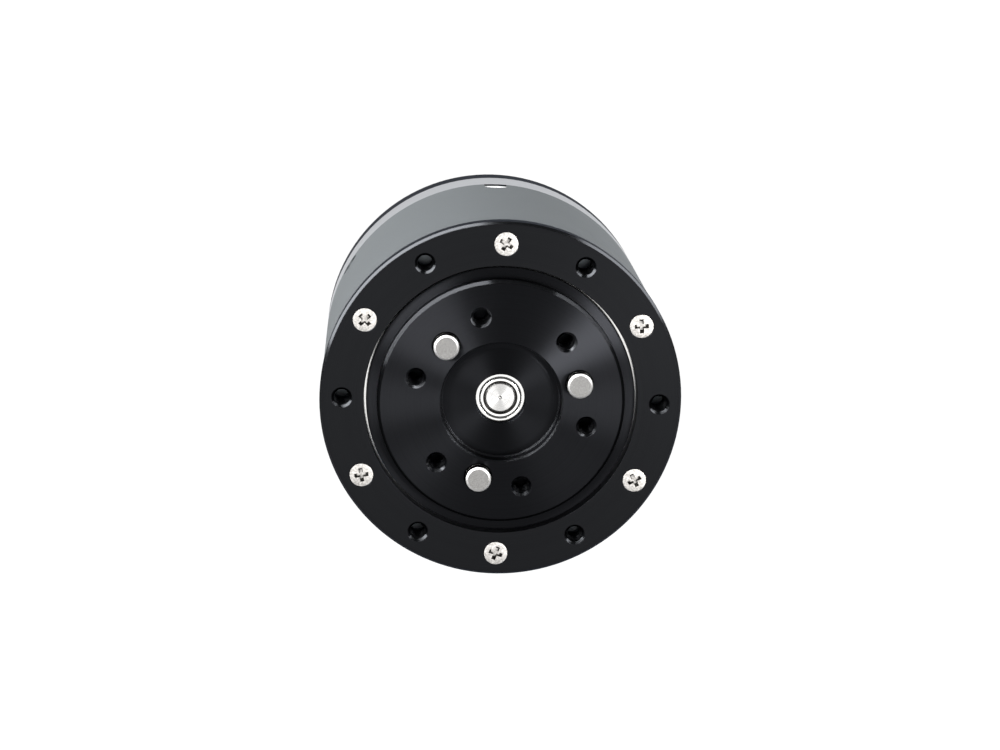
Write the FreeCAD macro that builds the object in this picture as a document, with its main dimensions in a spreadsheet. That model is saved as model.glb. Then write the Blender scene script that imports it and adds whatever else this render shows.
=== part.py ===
import FreeCAD, Part
import math
import os
import re
import Sketcher

# Geared robot joint actuator: an outrunner motor drives a single planetary stage, and the output
# flange turns in a thin bearing behind the front cover. The rear face lies on z = 0, the output
# axis is +Z and all lengths are millimetres.

SIZES = [
    # outer shells
    ("barrel_diameter", 56.6, "barrel, rear housing and rear cover, outside"),
    ("barrel_length", 37.9, "barrel, between rear housing and front cover"),
    ("barrel_wall", 3.8, "barrel, round the rotor"),
    ("motor_cavity_diameter", "=barrel_diameter - 2 * barrel_wall", "barrel, room for the rotor"),
    ("cover_overhang", 0.2, "front cover, beyond the barrel"),
    ("cover_diameter", "=barrel_diameter + 2 * cover_overhang", "front cover, outside"),
    ("cover_thickness", 2.5, "front cover plate"),
    ("cover_edge_chamfer", 0.4, "front cover, outer edge"),
    ("notch_count", 6, "vent notches in the barrel's rear edge"),
    ("notch_width", 3.8, "vent notch, along the edge; its front end is round"),
    ("notch_depth", 4.0, "vent notch, along the axis"),
    ("rear_housing_length", 7.4, "rear housing, outside"),
    ("rear_housing_wall", 4.3, "rear housing, round the driver board"),
    ("rear_housing_bore", "=barrel_diameter - 2 * rear_housing_wall", "rear housing, room for the board"),
    ("web_thickness", 1.8, "rear housing, plate that carries the stator hub"),
    ("rear_cover_thickness", 4.5, "rear cover, outside"),
    ("rear_plate_thickness", 1.8, "rear cover, floor"),
    ("rear_edge_chamfer", 0.3, "rear cover, outer edge"),
    ("cut_margin", 1.0, "how far a cutting shape reaches past what it cuts"),
    # fasteners and mounting holes of the front cover
    ("face_circle_inset", 3.3, "screws and mounting holes, from the barrel's outside"),
    ("face_circle", "=barrel_diameter - 2 * face_circle_inset", "circle of screws and mounting holes"),
    ("cover_screw_count", 6, "cover screws"),
    ("cover_screw_angle", 90.0, "first cover screw, degrees"),
    ("mount_hole_count", 6, "mounting holes"),
    ("mount_hole_angle", 120.0, "first mounting hole, degrees"),
    ("mount_tap_diameter", 2.5, "M3 tapped hole, minor diameter"),
    ("mount_mouth_diameter", 3.3, "M3 tapped hole, chamfered mouth"),
    ("mount_hole_depth", 6.0, "M3 tapped hole, below the cover face"),
    ("screw_diameter", 2.0, "M2 screw, shank"),
    ("screw_head_diameter", 3.8, "M2 countersunk head"),
    ("screw_hole_clearance", 0.05, "radial room round an M2 shank"),
    ("screw_sink", 0.05, "depth of a countersunk head below its face"),
    ("cover_screw_bite", 3.5, "cover screw, length in the barrel"),
    ("tapped_run_out", 0.5, "tapped hole, length past the screw"),
    ("rear_screw_count", 3, "long screws of the rear cover"),
    ("rear_screw_inset", 2.3, "rear screws, from the barrel's outside"),
    ("rear_screw_circle", "=barrel_diameter - 2 * rear_screw_inset", "circle of the rear screws"),
    ("rear_screw_angle", 0.0, "first rear screw, degrees"),
    ("rear_screw_bite", 6.1, "rear screw, length in the barrel"),
    # output bearing
    ("output_bearing_inset", 6.3, "barrel wall round the output bearing"),
    ("output_bearing_outside", "=barrel_diameter - 2 * output_bearing_inset", "output bearing"),
    ("output_bearing_section", 4.5, "output bearing, from bore to outside"),
    ("output_bearing_bore", "=output_bearing_outside - 2 * output_bearing_section", "output bearing"),
    ("output_bearing_width", 5.0, "output bearing"),
    ("bearing_ring_wall", 1.5, "output bearing, each ring"),
    # rotor shaft and its bearings
    ("shaft_diameter", 5.0, "rotor shaft"),
    ("shaft_chamfer", 0.3, "rotor shaft, front end"),
    ("shaft_centre_radius", 0.3, "centre drilling in the shaft's front end"),
    ("shaft_sink", 0.1, "shaft's end behind the face of its bearing"),
    ("centre_bearing_section", 1.5, "centre bearing, from bore to outside"),
    ("centre_bearing_outside", "=shaft_diameter + 2 * centre_bearing_section", "bearing in the flange"),
    ("centre_bearing_width", 2.5, "bearing in the flange"),
    ("centre_bearing_sink", 1.0, "bearing face below the recess floor"),
    ("centre_ring_wall", 0.65, "centre bearing, each ring"),
    ("rear_bearing_section", 3.0, "rear bearing, from bore to outside"),
    ("rear_bearing_outside", "=shaft_diameter + 2 * rear_bearing_section", "bearing in the stator hub"),
    ("rear_bearing_width", 4.0, "bearing in the stator hub"),
    ("rear_ring_wall", 1.0, "rear bearing, each ring"),
    ("hub_wall", 2.5, "stator hub, round the rear bearing"),
    ("hub_diameter", "=rear_bearing_outside + 2 * hub_wall", "stator hub"),
    ("hub_shaft_room", 1.0, "stator hub, radial room round the shaft"),
    ("hub_bore_diameter", "=shaft_diameter + 2 * hub_shaft_room", "stator hub, round the shaft"),
    # planetary gears and carrier
    ("ring_gear_inset", 4.5, "barrel wall round the ring gear"),
    ("ring_gear_outside", "=barrel_diameter - 2 * ring_gear_inset", "ring gear"),
    ("ring_gear_rim", 2.03, "ring gear, outside its tooth roots"),
    ("ring_gear_width", 10.0, "ring gear"),
    ("pressure_angle", 20.0, "degrees"),
    ("sun_teeth", 12, "teeth of the pinion on the rotor shaft"),
    ("planet_teeth", 24, "teeth of each planet gear"),
    ("planet_count", 3, "planet gears"),
    ("first_planet_angle", 15.0, "degrees"),
    ("addendum_factor", 0.85, "tooth height above the pitch circle, in modules"),
    ("dedendum_factor", 1.1, "tooth depth below the pitch circle, in modules"),
    (
        "gear_module",
        "=(ring_gear_outside - 2 * ring_gear_rim) / (sun_teeth + 2 * planet_teeth + 2 * dedendum_factor)",
        "module of all gears, 0.7 in this size",
    ),
    ("gear_backlash", 0.08, "taken from each tooth's thickness"),
    ("axial_play", 0.3, "gap between parts that turn past each other"),
    ("pin_diameter", 4.0, "planet pins"),
    ("pin_end_relief", 0.01, "radius taken off the pins' free ends, for a sliding fit"),
    ("pin_stand_out", 1.7, "planet pins above the disc"),
    ("pin_chamfer", 0.3, "planet pins, front edge"),
    ("pin_seat_chamfer", 0.25, "disc, edge of each pin's hole"),
    ("pin_clearance", 0.03, "radial running clearance of a planet on its pin"),
    ("carrier_plate_thickness", 1.6, "rear plate of the planet carrier"),
    ("carrier_plate_margin", 2.2, "plate outside the pins"),
    ("pinion_room", 0.805, "plate's opening to the tips of the pinion"),
    (
        "carrier_plate_bore",
        "=gear_module * (sun_teeth + 2 * addendum_factor) + 2 * pinion_room",
        "opening for the pinion",
    ),
    # output flange
    ("flange_rim_inset", 0.8, "sunk rim inside the output bearing's outside"),
    ("flange_rim_diameter", "=output_bearing_outside - 2 * flange_rim_inset", "sunk rim"),
    ("flange_rim_sink", 1.0, "sunk rim below the cover face"),
    ("flange_rim_thickness", 0.6, "sunk rim"),
    ("flange_ledge", 1.7, "sunk rim outside the raised disc"),
    ("flange_disc_diameter", "=flange_rim_diameter - 2 * flange_ledge", "raised disc"),
    ("flange_shoulder", 1.1, "shoulder, beyond the bearing's bore"),
    ("flange_shoulder_diameter", "=output_bearing_bore + 2 * flange_shoulder", "on the inner ring"),
    ("flange_rise", 1.0, "raised disc above the cover face"),
    ("flange_disc_chamfer", 0.5, "raised disc, outer edge"),
    ("cover_bore_gap", 0.35, "front cover's opening round the sunk rim"),
    ("cover_bore_diameter", "=flange_rim_diameter + 2 * cover_bore_gap", "front cover, opening"),
    ("pilot_pin_wall", 1.15, "disc between the pins and the recess"),
    (
        "pilot_diameter",
        "=gear_module * (sun_teeth + planet_teeth) - pin_diameter - 2 * pilot_pin_wall",
        "centring recess in the disc",
    ),
    ("pilot_depth", 2.3, "centring recess"),
    ("pilot_chamfer", 0.25, "centring recess, edge"),
    ("pilot_floor_bevel", 0.25, "centring recess, corner of wall and floor"),
    ("flange_hole_count", 6, "M3 tapped holes in the disc"),
    ("flange_hole_inset", 4.55, "tapped holes, from the recess's edge"),
    ("flange_hole_circle", "=pilot_diameter + 2 * flange_hole_inset", "circle of the tapped holes"),
    ("flange_hole_angle", 105.0, "first tapped hole, degrees"),
    ("flange_hole_depth", 5.5, "tapped holes"),
    ("flange_shaft_room", 0.7, "radial room round the shaft in the flange"),
    # rotor
    ("bell_clearance", 0.5, "rotor bell to barrel"),
    ("bell_outside", "=motor_cavity_diameter - 2 * bell_clearance", "rotor bell"),
    ("bell_wall", 1.6, "rotor bell, rim and end plate"),
    ("bell_boss_wall", 2.5, "rotor bell, boss on the shaft"),
    ("bell_boss_diameter", "=shaft_diameter + 2 * bell_boss_wall", "rotor bell, boss on the shaft"),
    ("bell_boss_length", 2.4, "rotor bell, boss behind the end plate"),
    ("bell_carrier_gap", 0.4, "rotor bell to carrier plate"),
    ("bell_floor_gap", 1.5, "rotor bell to the rear housing's plate"),
    ("magnet_count", 14, "rotor magnets"),
    ("magnet_width", 7.6, "rotor magnet, along the rim"),
    ("magnet_thickness", 1.5, "rotor magnet"),
    ("magnet_overhang", 1.0, "rotor magnet, past each end of the stator core"),
    (
        "magnet_seat_radius",
        "=sqrt((bell_outside / 2 - bell_wall) ^ 2 - (magnet_width / 2) ^ 2)",
        "outer face of the flat magnets, whose corners touch the rim",
    ),
    # stator
    ("air_gap", 0.375, "magnets to stator core"),
    ("slot_count", 12, "stator teeth"),
    ("stator_diameter", "=2 * (magnet_seat_radius - magnet_thickness - air_gap)", "stator core"),
    ("stator_stand_off", 4.0, "stator core in front of the plate"),
    ("stator_front_room", 3.2, "stator core to the bell's end plate"),
    (
        "stator_length",
        "=barrel_length - output_bearing_width - ring_gear_width - carrier_plate_thickness"
        " - bell_carrier_gap - bell_wall - stator_front_room - stator_stand_off",
        "stator core, in what room the gears leave",
    ),
    ("hub_length", "=stator_stand_off + stator_length", "stator hub, in front of the plate"),
    ("magnet_length", "=stator_length + 2 * magnet_overhang", "rotor magnet, along the axis"),
    ("yoke_wall", 3.5, "stator core, inner ring"),
    ("yoke_diameter", "=hub_diameter + 2 * yoke_wall", "stator core, inner ring"),
    ("tooth_width", 3.0, "stator tooth"),
    ("slot_opening", 1.86, "between the shoes of two teeth"),
    ("shoe_width", "=stator_diameter * sin(180 / slot_count) - slot_opening", "tooth's outer shoe"),
    ("shoe_thickness", 0.8, "stator shoe, at its edge"),
    ("shoe_slope", 0.8, "stator shoe, sloped part"),
    ("coil_insulation", 0.15, "coil to stator tooth"),
    ("coil_thickness", 1.2, "coil, each side of the tooth"),
    ("coil_yoke_gap", 0.7, "coil to the stator's inner ring"),
    ("coil_start_radius", "=yoke_diameter / 2 + coil_yoke_gap", "coil, inner end"),
    # electronics
    ("board_clearance", 0.3, "driver board to rear housing"),
    ("board_diameter", "=rear_housing_bore - 2 * board_clearance", "driver board"),
    ("board_thickness", 1.6, "driver board"),
    ("board_spacer_length", 3.9, "spacers between board and plate"),
    ("board_spacer_radius", 2.3, "hexagonal spacers, corner radius"),
    ("board_spacer_inset", 4.7, "spacers, from the board's edge"),
    ("board_spacer_circle", "=board_diameter - 2 * board_spacer_inset", "circle of the spacers"),
    ("board_spacer_count", 4, "spacers"),
    ("sensor_side", 4.0, "rotation sensor on the board"),
    ("sensor_thickness", 1.0, "rotation sensor on the board"),
    ("sensor_gap", 0.7, "rotation sensor to its magnet"),
    ("sensor_magnet_diameter", 6.0, "magnet on the shaft's rear end"),
    ("sensor_magnet_thickness", 2.0, "magnet on the shaft's rear end"),
    ("switch_count", 6, "power transistors"),
    ("switch_length", 6.0, "power transistor"),
    ("switch_width", 5.0, "power transistor"),
    ("switch_thickness", 1.0, "power transistor"),
    ("switch_inset", 3.7, "power transistors, from the board's edge"),
    ("switch_circle_radius", "=board_diameter / 2 - switch_inset - switch_length", "inner side"),
    ("switch_spread", 32.0, "angle between power transistors, degrees"),
    ("power_socket_length", 10.4, "power socket"),
    ("power_socket_width", 5.6, "power socket"),
    ("power_contact_diameter", 2.6, "power socket, each contact hole"),
    ("power_contact_pitch", 5.0, "power socket, between contact holes"),
    ("signal_socket_length", 7.2, "signal socket"),
    ("signal_socket_width", 3.8, "signal socket"),
    ("signal_socket_wall", 0.7, "signal socket"),
    ("power_socket_place", -10.0, "power socket, along its row"),
    ("signal_socket_place", 2.5, "first signal socket, along the row"),
    ("signal_socket_spacing", 9.0, "between the two signal sockets"),
    ("socket_row", -11.0, "row of the sockets, from the axis"),
    ("socket_sink", 0.4, "sockets behind the rear face"),
    ("socket_floor", 0.8, "sockets, between their holes and the board"),
    (
        "socket_contact_depth",
        "=rear_cover_thickness + rear_housing_length - web_thickness - board_spacer_length"
        " - board_thickness - socket_sink - socket_floor",
        "contact holes and cavities",
    ),
    ("socket_gap", 0.3, "window round each socket"),
]

doc = FreeCAD.newDocument("joint_actuator")
sheet = doc.addObject("Spreadsheet::Sheet", "Sizes")
for row, (alias, value, note) in enumerate(SIZES, start=1):
    sheet.set(f"A{row}", alias)
    sheet.set(f"B{row}", str(value))
    sheet.set(f"C{row}", note)
    sheet.setAlias(f"B{row}", alias)
doc.recompute()
ALIASES = {alias for alias, value, note in SIZES}


def sized(text):
    """Puts the sheet's name before each size in an expression."""
    return re.sub(r"[a-z_]+", lambda word: f"Sizes.{word[0]}" if word[0] in ALIASES else word[0], str(text))


def measure(text):
    """The present value of an expression."""
    return float(sheet.evalExpression(sized(text)))


def bind(item, **properties):
    for name, text in properties.items():
        item.setExpression(name.replace("__", "."), sized(text))


# ---------------------------------------------------------------- stations along the axis
housing_back = "rear_cover_thickness"
housing_front = f"({housing_back} + rear_housing_length)"
cover_back = f"({housing_front} + barrel_length)"
cover_front = f"({cover_back} + cover_thickness)"
disc_face = f"({cover_front} + flange_rise)"
rim_face = f"({cover_front} - flange_rim_sink)"
pilot_floor = f"({disc_face} - pilot_depth)"
output_bearing_back = f"({cover_back} - output_bearing_width)"
flange_back = f"({output_bearing_back} - axial_play)"
ring_gear_back = f"({output_bearing_back} - ring_gear_width)"
planet_front = f"({flange_back} - axial_play)"
planet_back = f"({ring_gear_back} + axial_play)"
carrier_front = f"({planet_back} - axial_play)"
carrier_back = f"({carrier_front} - carrier_plate_thickness)"
bell_front = f"({carrier_back} - bell_carrier_gap)"
bell_inside = f"({bell_front} - bell_wall)"
bell_back = f"({housing_front} + bell_floor_gap)"
web_back = f"({housing_front} - web_thickness)"
hub_front = f"({housing_front} + hub_length)"
rear_bearing_front = f"({web_back} + rear_bearing_width)"
stator_back = f"({housing_front} + stator_stand_off)"
stator_front = f"({stator_back} + stator_length)"
centre_bearing_front = f"({pilot_floor} - centre_bearing_sink)"
centre_bearing_back = f"({centre_bearing_front} - centre_bearing_width)"
shaft_front = f"({centre_bearing_front} - shaft_sink)"
board_front = f"({web_back} - board_spacer_length)"
board_back = f"({board_front} - board_thickness)"
sensor_magnet_back = f"({board_front} + sensor_thickness + sensor_gap)"
shaft_back = f"({sensor_magnet_back} + sensor_magnet_thickness)"

pin_circle_radius = "(gear_module * (sun_teeth + planet_teeth) / 2)"
tooth_sum = "(2 * (sun_teeth + planet_teeth))"


def planet_angle(index):
    """Planets sit at the even spacing's nearest angle at which both meshes close."""
    return f"(first_planet_angle + round({index} * {tooth_sum} / planet_count) * 360 / {tooth_sum})"


# ---------------------------------------------------------------- building blocks
def new_body(name):
    body = doc.addObject("PartDesign::Body", name)
    body.Label = name
    body.AllowCompound = True
    return body


def datum(body, role):
    return next(item for item in body.Origin.OriginFeatures if item.Role == role)


def drawn(body, name, role, loops, lift="0"):
    """A sketch on one of the body's planes, each corner held by its own two distances."""
    sketch = body.newObject("Sketcher::SketchObject", f"{body.Name}_{name}")
    sketch.AttachmentSupport = [(datum(body, role), "")]
    sketch.MapMode = "FlatFace"
    bind(sketch, AttachmentOffset__Base__z=lift)
    for corners in loops:
        places = [FreeCAD.Vector(measure(across), measure(up), 0) for across, up in corners]
        first = sketch.GeometryCount
        for index, place in enumerate(places):
            sketch.addGeometry(Part.LineSegment(place, places[(index + 1) % len(places)]))
        for index, (across, up) in enumerate(corners):
            line = first + index
            following = first + (index + 1) % len(corners)
            sketch.addConstraint(Sketcher.Constraint("Coincident", line, 2, following, 1))
            for kind, text, value in (
                ("DistanceX", across, places[index].x),
                ("DistanceY", up, places[index].y),
            ):
                number = sketch.addConstraint(Sketcher.Constraint(kind, -1, 1, line, 1, value))
                if text not in ("0", 0):
                    sketch.setExpression(f"Constraints[{number}]", sized(text))
    return sketch


def turned_at(body, name, at, corners):
    """A revolved feature of the body about its own axis, which stands at (x, y, z)."""
    sketch = drawn(body, name, "XZ_Plane", [corners])
    bind(sketch, AttachmentOffset__Base__x=at[0], AttachmentOffset__Base__y=at[2])
    bind(sketch, AttachmentOffset__Base__z=f"-({at[1]})")
    revolution = body.newObject("PartDesign::Revolution", f"{name}_turned")
    revolution.Profile = sketch
    revolution.ReferenceAxis = (sketch, ["V_Axis"])
    revolution.Angle = 360
    return revolution


def turned(name, corners):
    """A body revolved about the axis from (radius, height) corners."""
    body = new_body(name)
    turned_at(body, name, ("0", "0", "0"), corners)
    return body


def ring(name, inside, outside, back, front):
    return turned(name, [(inside, back), (outside, back), (outside, front), (inside, front)])


def placed(body, kind, name, at, turn="0", lean=0, **sizes):
    """A primitive feature of the body, on its XY plane at (x, y, z); lean tips it outward."""
    feature = body.newObject(f"PartDesign::{kind}", f"{body.Name}_{name}")
    feature.AttachmentSupport = [(datum(body, "XY_Plane"), "")]
    feature.MapMode = "FlatFace"
    feature.AttachmentOffset = FreeCAD.Placement(
        FreeCAD.Vector(*[measure(text) for text in at]),
        FreeCAD.Rotation(measure(turn), lean, 0),
    )
    bind(feature, AttachmentOffset__Base__x=at[0], AttachmentOffset__Base__y=at[1])
    bind(feature, AttachmentOffset__Base__z=at[2])
    if turn != "0" and lean == 0:
        bind(feature, AttachmentOffset__Rotation__Angle=turn)
    bind(feature, **sizes)
    return feature


def spread(body, features, count, angle="360"):
    """Repeats features evenly about the axis."""
    doc.recompute()
    pattern = body.newObject("PartDesign::PolarPattern", f"{features[0].Name}_pattern")
    pattern.Originals = features
    pattern.Axis = (datum(body, "Z_Axis"), [""])
    pattern.Angle = measure(angle)
    bind(pattern, Occurrences=count)
    body.Tip = pattern
    return pattern


def on_circle(radius, angle, height):
    return (f"({radius}) * cos({angle})", f"({radius}) * sin({angle})", height)


def tapped_holes(body, name, circle, angle, count, face, depth):
    """Blind M3 holes with a chamfered mouth, open at the face."""
    mouth = "((mount_mouth_diameter - mount_tap_diameter) / 2)"
    bore = placed(
        body, "SubtractiveCylinder", f"{name}_bore",
        on_circle(f"{circle} / 2", angle, f"{face} - {depth}"),
        Radius="mount_tap_diameter / 2", Height=depth,
    )
    flare = placed(
        body, "SubtractiveCone", f"{name}_mouth",
        on_circle(f"{circle} / 2", angle, f"{face} - {mouth}"),
        Radius1="mount_tap_diameter / 2", Radius2="mount_mouth_diameter / 2", Height=mouth,
    )
    spread(body, [bore, flare], count)


head_depth = "((screw_head_diameter - screw_diameter) / 2)"
screw_hole = "(screw_diameter / 2 + screw_hole_clearance)"
sink_depth = f"(screw_head_diameter / 2 - {screw_hole})"


def plain_holes(body, name, radius, circle, angle, count, back, height):
    bore = placed(
        body, "SubtractiveCylinder", name, on_circle(f"{circle} / 2", angle, back),
        Radius=radius, Height=height,
    )
    spread(body, [bore], count)


# ---------------------------------------------------------------- front cover and its screws
def make_front_cover():
    edge = "cover_diameter / 2"
    body = turned("front_cover", [
        ("cover_bore_diameter / 2", cover_back),
        (edge, cover_back),
        (edge, f"{cover_front} - cover_edge_chamfer"),
        (f"{edge} - cover_edge_chamfer", cover_front),
        ("cover_bore_diameter / 2", cover_front),
    ])
    place = on_circle("face_circle / 2", "cover_screw_angle", cover_back)
    seat_place = on_circle("face_circle / 2", "cover_screw_angle", f"{cover_front} - {sink_depth}")
    bore = placed(
        body, "SubtractiveCylinder", "screw_hole", place, Radius=screw_hole, Height="cover_thickness",
    )
    seat = placed(
        body, "SubtractiveCone", "screw_seat", seat_place,
        Radius1=screw_hole, Radius2="screw_head_diameter / 2", Height=sink_depth,
    )
    spread(body, [bore, seat], "cover_screw_count")
    tapped_holes(
        body, "mount", "face_circle", "mount_hole_angle", "mount_hole_count",
        cover_front, "mount_hole_depth",
    )
    return body


def make_screws(name, circle, angle, count, face, tip, up):
    """Countersunk screws, heads at the face; up is 1 where the heads point forward, else -1."""
    body = new_body(name)
    wide = "screw_head_diameter / 2 - screw_sink"
    narrow = "screw_diameter / 2"
    if up > 0:
        neck = f"({face} - {head_depth})"
        low_end = tip
        head_at = neck
        head_radii = {"Radius1": narrow, "Radius2": wide}
    else:
        neck = f"({face} + {head_depth})"
        low_end = neck
        head_at = f"({face} + screw_sink)"
        head_radii = {"Radius1": wide, "Radius2": narrow}
    shank = placed(
        body, "AdditiveCylinder", "shank", on_circle(f"{circle} / 2", angle, low_end),
        Radius=narrow, Height=f"abs({neck} - {tip})",
    )
    head = placed(
        body, "AdditiveCone", "head", on_circle(f"{circle} / 2", angle, head_at),
        Height=f"{head_depth} - screw_sink", **head_radii,
    )
    spread(body, [shank, head], count)
    return body


# ---------------------------------------------------------------- barrel
def make_barrel():
    outside = "barrel_diameter / 2"
    body = turned("barrel_housing", [
        ("motor_cavity_diameter / 2", housing_front),
        (outside, housing_front),
        (outside, cover_back),
        ("output_bearing_outside / 2", cover_back),
        ("output_bearing_outside / 2", output_bearing_back),
        ("ring_gear_outside / 2", output_bearing_back),
        ("ring_gear_outside / 2", ring_gear_back),
        ("motor_cavity_diameter / 2", ring_gear_back),
    ])
    screw_depth = "(cover_screw_bite + tapped_run_out)"
    plain_holes(
        body, "cover_screw_tap", "screw_diameter / 2", "face_circle", "cover_screw_angle",
        "cover_screw_count", f"{cover_back} - {screw_depth}", screw_depth,
    )
    mount_depth = "(mount_hole_depth - cover_thickness)"
    plain_holes(
        body, "mount_tap", "mount_tap_diameter / 2", "face_circle", "mount_hole_angle",
        "mount_hole_count", f"{cover_back} - {mount_depth}", mount_depth,
    )
    plain_holes(
        body, "rear_screw_tap", "screw_diameter / 2", "rear_screw_circle", "rear_screw_angle",
        "rear_screw_count", housing_front, "rear_screw_bite + tapped_run_out",
    )
    start = "(motor_cavity_diameter / 2 - cut_margin)"
    length = f"barrel_diameter / 2 - {start} + cut_margin"
    angle = "cover_screw_angle"
    round_end = f"({housing_front} + notch_depth - notch_width / 2)"
    notch = placed(
        body, "SubtractiveBox", "notch",
        (
            f"{start} * cos({angle}) + notch_width / 2 * sin({angle})",
            f"{start} * sin({angle}) - notch_width / 2 * cos({angle})",
            housing_front,
        ),
        turn=angle,
        Length=length, Width="notch_width", Height="notch_depth - notch_width / 2",
    )
    notch_end = placed(
        body, "SubtractiveCylinder", "notch_end", on_circle(start, angle, round_end),
        turn=angle, lean=90, Radius="notch_width / 2", Height=length,
    )
    spread(body, [notch, notch_end], "notch_count")
    return body


# ---------------------------------------------------------------- rear housing and rear cover
def make_rear_housing():
    body = turned("rear_housing", [
        ("rear_housing_bore / 2", housing_back),
        ("barrel_diameter / 2", housing_back),
        ("barrel_diameter / 2", housing_front),
        ("hub_diameter / 2", housing_front),
        ("hub_diameter / 2", hub_front),
        ("hub_bore_diameter / 2", hub_front),
        ("hub_bore_diameter / 2", rear_bearing_front),
        ("rear_bearing_outside / 2", rear_bearing_front),
        ("rear_bearing_outside / 2", web_back),
        ("rear_housing_bore / 2", web_back),
    ])
    plain_holes(
        body, "rear_screw_hole", screw_hole, "rear_screw_circle", "rear_screw_angle",
        "rear_screw_count", housing_back, "rear_housing_length",
    )
    return body


def window(body, name, length, width, across):
    placed(
        body, "SubtractiveBox", name,
        (f"{across} - {length} / 2 - socket_gap", f"socket_row - {width} / 2 - socket_gap", "0"),
        Length=f"{length} + 2 * socket_gap", Width=f"{width} + 2 * socket_gap",
        Height="rear_plate_thickness",
    )


signal_places = ["signal_socket_place", "(signal_socket_place + signal_socket_spacing)"]


def make_rear_cover():
    outside = "barrel_diameter / 2"
    body = turned("rear_cover", [
        ("0", "0"),
        (f"{outside} - rear_edge_chamfer", "0"),
        (outside, "rear_edge_chamfer"),
        (outside, housing_back),
        ("rear_housing_bore / 2", housing_back),
        ("rear_housing_bore / 2", "rear_plate_thickness"),
        ("0", "rear_plate_thickness"),
    ])
    bore = placed(
        body, "SubtractiveCylinder", "screw_hole",
        on_circle("rear_screw_circle / 2", "rear_screw_angle", "0"),
        Radius=screw_hole, Height="rear_cover_thickness",
    )
    seat = placed(
        body, "SubtractiveCone", "screw_seat",
        on_circle("rear_screw_circle / 2", "rear_screw_angle", "0"),
        Radius1="screw_head_diameter / 2", Radius2=screw_hole, Height=sink_depth,
    )
    spread(body, [bore, seat], "rear_screw_count")
    window(body, "power_window", "power_socket_length", "power_socket_width", "power_socket_place")
    for number, across in enumerate(signal_places, start=1):
        window(body, f"signal_window_{number}", "signal_socket_length", "signal_socket_width", across)
    return body


# ---------------------------------------------------------------- gears
def tooth_flank(teeth, inward, steps):
    """(radius, half angle) pairs of one tooth's flank, from its foot to its tip."""
    module = measure("gear_module")
    pressure = math.radians(measure("pressure_angle"))
    pitch_radius = module * teeth / 2
    base_radius = pitch_radius * math.cos(pressure)
    side = -1 if inward else 1
    tip_radius = pitch_radius + side * measure("addendum_factor") * module
    foot_radius = pitch_radius - side * measure("dedendum_factor") * module
    half_pitch = math.pi / (2 * teeth) - measure("gear_backlash") / (2 * pitch_radius)
    start = foot_radius if inward else max(foot_radius, base_radius)
    flank = []
    for step in range(steps + 1):
        radius = start + (tip_radius - start) * step / steps
        roll = math.acos(min(1.0, base_radius / radius))
        swing = math.tan(pressure) - pressure - (math.tan(roll) - roll)
        flank.append((radius, half_pitch + side * swing))
    if start > foot_radius and not inward:
        flank[0] = (foot_radius, flank[0][1])
    return flank


def gear_wire(teeth, phase, steps, inward=False, height=0.0):
    """The closed outline of a gear; one tooth is centred on the phase, in degrees."""
    flank = tooth_flank(teeth, inward, steps)
    points = []
    for tooth in range(teeth):
        middle = math.radians(phase) + 2 * math.pi * tooth / teeth
        rising = [(radius, middle - half) for radius, half in flank]
        falling = [(radius, middle + half) for radius, half in reversed(flank)]
        for radius, angle in rising + falling:
            points.append(FreeCAD.Vector(radius * math.cos(angle), radius * math.sin(angle), height))
    return Part.makePolygon(points + points[:1])


def stored(name, shape):
    item = doc.addObject("Part::Feature", name)
    item.Label = name
    item.Shape = shape
    return item


sun_teeth = round(measure("sun_teeth"))
planet_teeth = round(measure("planet_teeth"))
ring_teeth = sun_teeth + 2 * planet_teeth
planet_count = round(measure("planet_count"))
flank_steps = 2


def ring_phase():
    """Turns the ring so that it meshes with the planets while a sun tooth lies on +X."""
    total = 180 * planet_teeth + measure("first_planet_angle") * (sun_teeth + ring_teeth)
    return total / ring_teeth


def planet_phase(angle):
    return angle + 180 - 180 / planet_teeth + angle * sun_teeth / planet_teeth


def make_ring_gear():
    back, front = measure(ring_gear_back), measure(output_bearing_back)
    rim = Part.makeCylinder(measure("ring_gear_outside") / 2, front - back, FreeCAD.Vector(0, 0, back))
    teeth = Part.Face(gear_wire(ring_teeth, ring_phase(), flank_steps, inward=True, height=back))
    return stored("ring_gear", rim.cut(teeth.extrude(FreeCAD.Vector(0, 0, front - back))))


def make_planet_gear(index):
    back, front = measure(planet_back), measure(planet_front)
    angle = measure(planet_angle(index))
    teeth = Part.Face(gear_wire(planet_teeth, planet_phase(angle), flank_steps, height=back))
    bore = measure("pin_diameter") / 2 + measure("pin_clearance")
    hole = Part.makeCylinder(bore, front - back, FreeCAD.Vector(0, 0, back))
    gear = teeth.extrude(FreeCAD.Vector(0, 0, front - back)).cut(hole)
    reach = measure(pin_circle_radius)
    turn = math.radians(angle)
    gear.translate(FreeCAD.Vector(reach * math.cos(turn), reach * math.sin(turn), 0))
    return stored(f"planet_gear_{index + 1}", gear)


def make_sun_shaft():
    """Shaft with a chamfered, centre-drilled front end; the pinion is cut on it."""
    radius = "shaft_diameter / 2"
    shaft = turned("shaft_blank", [
        ("0", shaft_back),
        (radius, shaft_back),
        (radius, f"{shaft_front} - shaft_chamfer"),
        (f"{radius} - shaft_chamfer", shaft_front),
        ("shaft_centre_radius", shaft_front),
        ("0", f"{shaft_front} - shaft_centre_radius"),
    ])
    back, front = measure(planet_back), measure(planet_front)
    pinion = stored(
        "pinion",
        Part.Face(gear_wire(sun_teeth, 0, flank_steps, height=back)).extrude(
            FreeCAD.Vector(0, 0, front - back)
        ),
    )
    joined = doc.addObject("Part::Fuse", "sun_shaft")
    joined.Label = "sun_shaft"
    joined.Base = shaft
    joined.Tool = pinion
    return joined


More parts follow.
